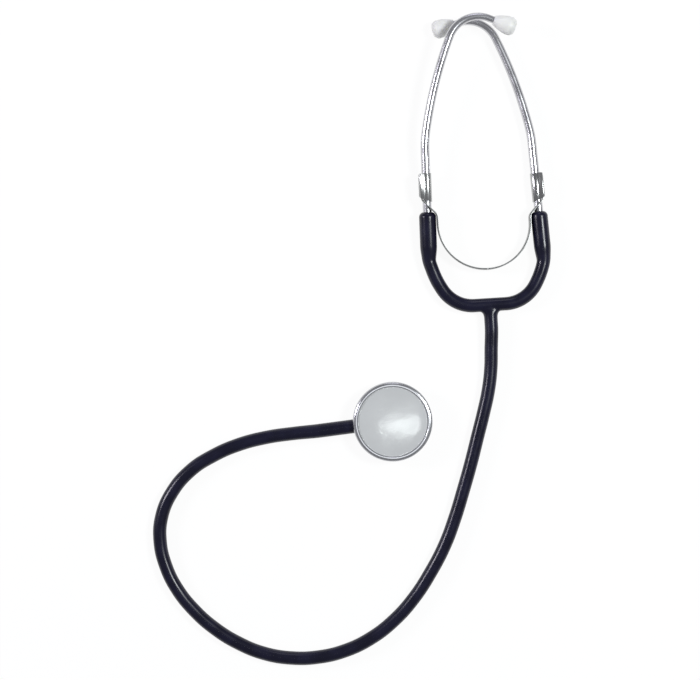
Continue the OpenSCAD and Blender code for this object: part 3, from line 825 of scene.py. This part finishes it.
class STETHOSCOPE_OT_arms(bpy.types.Operator):
    """Models each arm of the Y with its stretched end over the foot of the ear tube"""

    bl_idname = "stethoscope.arms"
    bl_label = "Arms of the Y"

    def execute(self, context):
        s = sizes()
        r, sleeve_r, rim = s.tube_diameter / 2, s.sleeve_diameter / 2, s.sleeve_rim
        length = s.sleeve_length / MM
        before, after = WIDENING
        for side in (LEFT, RIGHT):
            path = arm_path(side)
            bend = math.ceil(foot_turn(side) / FOOT_STEP) + 1
            points, radii = [], []
            # The lean of the ear tube grows from nothing over the last bend before its foot
            for i, p in enumerate(path):
                share = max(0, i - len(path) + 1 + bend) / bend
                points.append(on_table((p[0], p[1], 0), side, LEAN[side] * share))
                to_foot = math.dist(p[:2], path[-1][:2])
                radii.append(self.widened(r, sleeve_r, (before - to_foot) / (before + after)))
            # The arm widens softly over the end of the ear tube, and ends in a rounded rim
            sleeve = [(after * i / 12,
                       self.widened(r, sleeve_r, (before + after * i / 12) / (before + after)))
                      for i in range(1, 13)]
            sleeve += [(after + (length - rim / MM - after) * t, sleeve_r) for t in (0.3, 0.5, 0.7, 0.85)]
            sleeve += [(length - rim / MM * (1 - sin), sleeve_r - rim * (1 - cos))
                       for cos, sin in map(unit, range(0, 81, 8))]
            for distance, radius in sleeve:
                p = line_end(foot(side), distance)
                points.append(on_table((p[0], p[1], 0), side))
                radii.append(radius)
            piece = swept(f"{NAME[side]}_arm_moulding", points, radii)
            hand_over(piece, "tubing", f"{NAME[side]}_arm", f"{NAME[side]}_arm_sleeve")
            # The ends of a swing's bend, on both sides of the swing's axis at the foot, are worked out but
            # not used
            ends = [line_end(foot(side), distance) for distance in SWING_BEND]
            start, end = (tuple(on_table((p[0], p[1], 0), side)) for p in ends)
            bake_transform(piece)
        return {"FINISHED"}

    def widened(self, low, high, share):
        """From low to high, with a soft start and end"""
        share = min(1, max(0, share))
        return low + (high - low) * share * share * (3 - 2 * share)


class STETHOSCOPE_OT_ear_tubes(bpy.types.Operator):
    """Bends and tapers the two chromed ear tubes"""

    bl_idname = "stethoscope.ear_tubes"
    bl_label = "Ear tubes"

    def execute(self, context):
        s = sizes()
        wide, thin = s.ear_tube_diameter / 2, s.ear_tube_tip / 2
        for side in (LEFT, RIGHT):
            path = ear_path(side)
            points = [on_table((p[0], p[1], 0), side) for p, _ in path]
            radii = [wide + (thin - wide) * share for _, share in path]
            piece = swept(f"{NAME[side]}_ear_tube_bent", points, radii, 14)
            hand_over(piece, "tube_chrome", f"{NAME[side]}_ear_tube")
            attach(piece, f"{NAME[side]}_ear")
        return {"FINISHED"}


class STETHOSCOPE_OT_ear_tips(bpy.types.Operator):
    """Turns the two milky ear tips: a neck that swells into a bulb with a blunt, pierced end"""

    bl_idname = "stethoscope.ear_tips"
    bl_label = "Ear tips"

    def execute(self, context):
        s = sizes()
        length, bulb = s.tip_length / MM, s.tip_diameter / 2 / MM
        neck, bore, hole, socket = 2.8, s.ear_tube_tip / 2 / MM + 0.05, 0.9, 8.0
        widest, blunt = 0.72 * length, 0.42 * bulb
        edge, lip, steps = 0.25, 0.35, 16
        profile = [(bore, 0), (neck - edge, 0), (neck, edge)]
        profile += [(neck + (bulb - neck) * unit(90 * i / steps)[1], edge + (widest - edge) * i / steps)
                    for i in range(1, steps + 1)]
        profile += [(blunt + (bulb - blunt) * cos, widest + (length - widest) * sin)
                    for cos, sin in map(unit, range(9, 91, 9))]
        profile += [(hole + lip, length), (hole, length - lip), (hole, socket), (bore, socket), (bore, 0)]
        for side in (LEFT, RIGHT):
            place = along_tube(side, line_end(ear_end(side), FACE_GAP))
            piece = spun(f"{NAME[side]}_ear_tip_moulding", profile, 72, place)
            hand_over(piece, "tip_plastic", f"{NAME[side]}_ear_tip")
            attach(piece, f"{NAME[side]}_tip")
        return {"FINISHED"}


class STETHOSCOPE_OT_leaf_spring(bpy.types.Operator):
    """Bends the leaf spring in two halves, each with the eye that its ear tube passes through"""

    bl_idname = "stethoscope.leaf_spring"
    bl_label = "Leaf spring"

    def execute(self, context):
        s = sizes()
        for side in (LEFT, RIGHT):
            path = strip_path(side)
            piece = ribbon(f"{NAME[side]}_spring_half", [(p[0], p[1]) for p in path], s.strip_width / 2)
            # The ear tube's lean grows over the U, which ends where its heading has come round to 0
            u_end = next(i for i, p in enumerate(path) if p[2] > -0.01)
            for vertex in piece.data.vertices:
                x, y, z = vertex.co / MM
                near = min(range(len(path)), key=lambda i: (path[i][0] - x) ** 2 + (path[i][1] - y) ** 2)
                if near >= len(path) - TAIL_POINTS:
                    z *= TAIL_SHARE
                vertex.co = on_table((x, y, z), side, LEAN[side] * min(1, near / u_end))
            tidy(piece)
            modify(piece, "SOLIDIFY", thickness=s.strip_thickness, offset=0)
            self.eye(piece, side)
            bevel(piece, 0.00012, 2, 50)
            smooth(piece, 30)
            nodes = ["leaf_spring"] if side == LEFT else []
            hand_over(piece, "spring_steel", *nodes)
            # The ends of a swing's blend, at the base of the U and short of the crossing, are worked out but
            # not used
            cross = line_end(foot(side), crossing(side))
            end = line_end((cross[0], cross[1], CROSS_HEADING), -BLEND_SHORT)
            tuple(on_table((0, STRIP_BASE, 0), side, 0))
            tuple(on_table((end[0], end[1], 0), side))
            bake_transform(piece)
        return {"FINISHED"}

    def eye(self, piece, side):
        """Cuts a long hole through the strip where the tube passes on the slant"""
        radius = sizes().ear_tube_diameter / 2 + EYE_GAP * MM
        depth, shift = 0.0056, 0.0004
        deselect()
        bpy.ops.mesh.primitive_cylinder_add(vertices=ROUND, radius=radius, depth=depth)
        cutter = named("eye_cutter")
        cutter.scale = (1, EYE_STRETCH, 1)
        settle(cutter)
        place = along_tube(side, line_end(foot(side), crossing(side)))
        lean = Matrix.Rotation(math.radians(TOE_IN[side] - CROSS_HEADING), 4, "Y")
        # Local Y of the cutter runs along the strip, and its axis through the strip
        axes = Matrix(((0, 0, 1, 0), (1, 0, 0, 0), (0, 1, 0, 0), (0, 0, 0, 1)))
        settle(cutter, place @ lean @ Matrix.Translation((0, 0, shift)) @ axes)
        modify(piece, "BOOLEAN", operation="DIFFERENCE", object=cutter, solver="EXACT")
        bpy.data.objects.remove(cutter)


class STETHOSCOPE_OT_clips(bpy.types.Operator):
    """Folds the two clips: one sheet round the ear tube and the strip's tail, pinched into a fin"""

    bl_idname = "stethoscope.clips"
    bl_label = "Spring clips"

    def execute(self, context):
        s = sizes()
        half, tube = s.sheet / 2 / MM, s.ear_tube_diameter / 2 / MM
        tail_out = tube + POCKET_GAP * 2 + s.strip_thickness / MM
        up = TAIL_SHARE * s.strip_width / 2 / MM + POCKET_GAP + half + CLIP_ROOM
        far = tail_out + half
        edge, layer = far + half + s.fin_width / MM, half * 1.02
        # The sheet's middle line: a layer of the fin, a plate, round the tube, a plate and the other layer
        ring = [((tube + half) * cos, (tube + half) * sin) for cos, sin in
                (unit(CLIP_LEAVES + (360 - 2 * CLIP_LEAVES) * i / 24) for i in range(25))]
        step = (ring[0][0] + CLIP_STEP[0], ring[0][1] + CLIP_STEP[1])
        top = self.corner((far, up), CLIP_FOLD, (far, 0), step) + [step]
        sheet = [(edge, layer), (far + 0.35, layer), (far, half * 2.4)]
        outline = sheet + list(reversed(top)) + ring
        outline += [(x, -y) for x, y in top] + [(x, -y) for x, y in reversed(sheet)]
        for side in (LEFT, RIGHT):
            angle = math.radians(TOE_IN[side] - CROSS_HEADING)
            piece = ribbon(f"{NAME[side]}_clip_folded", outline, CLIP_STOCK)
            length = s.clip_length / MM
            # The clip ends square at the top, and at the bottom on the slant of the strip
            cut = (s.strip_thickness / 2 / MM + POCKET_GAP) / math.sin(angle)
            bisect(piece, (0, 0, length * MM), (0, 0, 1))
            bisect(piece, (0, 0, cut * MM), (math.cos(angle), 0, -math.sin(angle)))
            self.rounded(piece, edge, length - TOP_ROUNDING, TOP_ROUNDING, (22.5, 45, 67.5))
            low = (edge - LOW_ROUNDING) / math.tan(angle) + cut + LOW_ROUNDING
            self.rounded(piece, edge, low, LOW_ROUNDING, (-20, -45, -70))
            tidy(piece)
            modify(piece, "SOLIDIFY", thickness=s.sheet, offset=0)
            bevel(piece, 0.0001, 2, 50)
            tidy(piece)
            smooth(piece, 35)
            settle(piece, along_tube(side, line_end(foot(side), crossing(side))))
            hand_over(piece, "clip_metal", f"{NAME[side]}_spring_clip")
            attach(piece, f"{NAME[side]}_ear")
        return {"FINISHED"}

    def rounded(self, piece, edge, height, radius, angles):
        """Rounds a corner of the fin by planes that touch one circle"""
        centre = Vector((edge - radius, 0, height))
        for cos, sin in map(unit, angles):
            out = Vector((cos, 0, sin))
            bisect(piece, (centre + out * radius) * MM, out)

    def corner(self, at, radius, after, before):
        """A fold in place of a sharp corner, from the side of before to the side of after"""
        at = Vector(at)
        a, b = (Vector(before) - at).normalized(), (Vector(after) - at).normalized()
        start, end = at + a * radius, at + b * radius
        points = []
        for i in range(5):
            t = i / 4
            points.append(tuple(start * (1 - t) ** 2 + at * 2 * t * (1 - t) + end * t * t))
        return points


class STETHOSCOPE_OT_head(bpy.types.Operator):
    """Turns the head: the bowl with its boss, the ring with its band and flat land, and the diaphragm"""

    bl_idname = "stethoscope.head"
    bl_label = "Chestpiece"

    def execute(self, context):
        head_r = sizes().head_diameter / 2 / MM
        self.housing(head_r)
        self.ring(head_r)
        self.diaphragm(head_r)
        return {"FINISHED"}

    def housing(self, head_r):
        back, waist, shoulder, seat, edge = 14.0, 19.0, 8.8, 11.1, 0.4
        flange, spigot = head_r - 0.6, head_r - 1.2
        chamber, bore, bore_end = 20.05, 1.6, 5.0
        # The flat back and its soft edge, the bowl, the flange, the spigot in the ring, and the chamber
        profile = [(0, 0), (6, 0), (back - edge, 0)]
        profile += [(back - edge + edge * sin, edge / 2 * (1 - cos)) for cos, sin in map(unit, (30, 60, 80))]
        profile += [(back + (waist - back) * sin, shoulder * (1 - cos))
                    for cos, sin in map(unit, range(16, 85, 4))]
        profile += [(waist + 0.05, shoulder - 0.5), (waist + 0.25, shoulder - 0.15), (waist + 0.7, shoulder),
                    (head_r - 0.9, shoulder), (head_r - 0.65, shoulder + 0.1), (flange, shoulder + 0.3),
                    (flange, RING_LOW - 0.02), (spigot, RING_LOW), (spigot - 0.05, seat), (chamber, seat),
                    (bore, seat - 2.0), (bore, bore_end), (0, bore_end)]
        piece = spun("head_casting", profile, 128)
        boss_start, boss_r = 10, 4.05
        deselect()
        bpy.ops.mesh.primitive_cylinder_add(vertices=ROUND, radius=boss_r * MM,
                                            depth=(BOSS_END - boss_start) * MM)
        boss = named("stem_boss")
        settle(boss, stem_frame((BOSS_END + boss_start) / 2))
        modify(piece, "BOOLEAN", operation="UNION", object=boss, solver="EXACT")
        bpy.data.objects.remove(boss)
        bevel(piece, 0.0003, 3, 55)
        smooth(piece, 30)
        hand_over(piece, "head_chrome", "chest_housing")
        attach(piece, "chestpiece")

    def ring(self, head_r):
        low, top, window, bore = RING_LOW, 13.0, head_r - 3.0, head_r - 1.2
        wide, tall, crease = 1.7, 2.2, 0.25
        land = (window + 0.6, window + 0.6 + 0.58)
        profile = [(bore, low), (head_r - 0.3, low), (head_r - 0.08, low + 0.1), (head_r, low + 0.3),
                   (head_r, top - tall)]
        profile += [(head_r - wide * (1 - cos), top - crease - (tall - crease) * (1 - sin))
                    for cos, sin in map(unit, range(8, 81, 8))]
        # A crease, then the flat land, whose bright ring is a painted highlight in its whitened finish, then
        # the slope down to the diaphragm
        profile += [(land[1] + 0.04, top - 0.2), (land[1], top), (land[0], top), (land[0] - 0.1, top - 0.06),
                    (window + 0.1, DISC_TOP + 0.3), (window, DISC_TOP + 0.2), (window, DISC_TOP),
                    (bore, DISC_TOP), (bore, low)]
        piece = spun("ring_turned", profile, 160)
        hand_over(piece, "ring_chrome", "retaining_ring")
        self.paint_land_highlight(piece, land, top)
        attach(piece, "chestpiece")

    def paint_land_highlight(self, piece, land, top):
        """Gives the ring's flat land the second finish: satin chrome whitened into a painted highlight"""
        piece.data.materials.append(material_of("ring_land_painted_highlight"))
        for face in piece.data.polygons:
            x, y, z = face.center / MM
            if z > top - 0.01 and land[0] < math.hypot(x, y) < land[1]:
                face.material_index = 1

    def diaphragm(self, head_r):
        radius, low, high, edge = head_r - 1.3, 11.7, DISC_TOP, 0.05
        profile = [(0, low), (radius - edge, low), (radius, low + edge), (radius, high - edge),
                   (radius - edge, high)]
        # A shallow groove is pressed into the sheet just inside the ring's window
        profile += [(20.6, high), (20.3, high - 0.06), (19.9, high - 0.07), (19.4, high - 0.02), (18.5, high),
                    (15, high), (10, high), (5, high), (0, high)]
        piece = spun("diaphragm_sheet", profile, 128)
        hand_over(piece, "disc", "diaphragm")
        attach(piece, "chestpiece")


class STETHOSCOPE_OT_carried(bpy.types.Operator):
    """Gives the pieces that keep their solid the finish of what they are"""

    bl_idname = "stethoscope.carried"
    bl_label = "Stem, gasket and nipples"

    def execute(self, context):
        for node, finish in (("chest_stem", "head_chrome"), ("diaphragm_gasket", "gasket"),
                             ("left_tip_nipple", "tube_chrome"), ("right_tip_nipple", "tube_chrome")):
            dress(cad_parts[node], finish)
        return {"FINISHED"}


OPERATORS = (STETHOSCOPE_OT_stage, STETHOSCOPE_OT_hose, STETHOSCOPE_OT_junction, STETHOSCOPE_OT_arms,
             STETHOSCOPE_OT_ear_tubes, STETHOSCOPE_OT_ear_tips, STETHOSCOPE_OT_leaf_spring,
             STETHOSCOPE_OT_clips, STETHOSCOPE_OT_head, STETHOSCOPE_OT_carried)


class STETHOSCOPE_PT_panel(bpy.types.Panel):
    """Lists the sizes, the colours and the steps"""

    bl_label = "Stethoscope"
    bl_idname = "STETHOSCOPE_PT_panel"
    bl_space_type = "VIEW_3D"
    bl_region_type = "UI"
    bl_category = "Stethoscope"

    def draw(self, context):
        for group in (context.scene.stethoscope_sizes, context.scene.stethoscope_colours):
            for key in group.__annotations__:
                self.layout.prop(group, key)
        for operator in OPERATORS:
            self.layout.operator(operator.bl_idname)


CLASSES = (StethoscopeSizes, StethoscopeColours, *OPERATORS, STETHOSCOPE_PT_panel)


def register():
    for cls in CLASSES:
        bpy.utils.register_class(cls)
    bpy.types.Scene.stethoscope_sizes = PointerProperty(type=StethoscopeSizes)
    bpy.types.Scene.stethoscope_colours = PointerProperty(type=StethoscopeColours)


def unregister():
    del bpy.types.Scene.stethoscope_colours
    del bpy.types.Scene.stethoscope_sizes
    for cls in reversed(CLASSES):
        bpy.utils.unregister_class(cls)


def main():
    register()
    bpy.ops.stethoscope.stage()
    bpy.ops.stethoscope.hose()
    bpy.ops.stethoscope.junction()
    bpy.ops.stethoscope.arms()
    bpy.ops.stethoscope.ear_tubes()
    bpy.ops.stethoscope.ear_tips()
    bpy.ops.stethoscope.leaf_spring()
    bpy.ops.stethoscope.clips()
    bpy.ops.stethoscope.head()
    bpy.ops.stethoscope.carried()
    deselect()


if __name__ == "__main__":
    main()
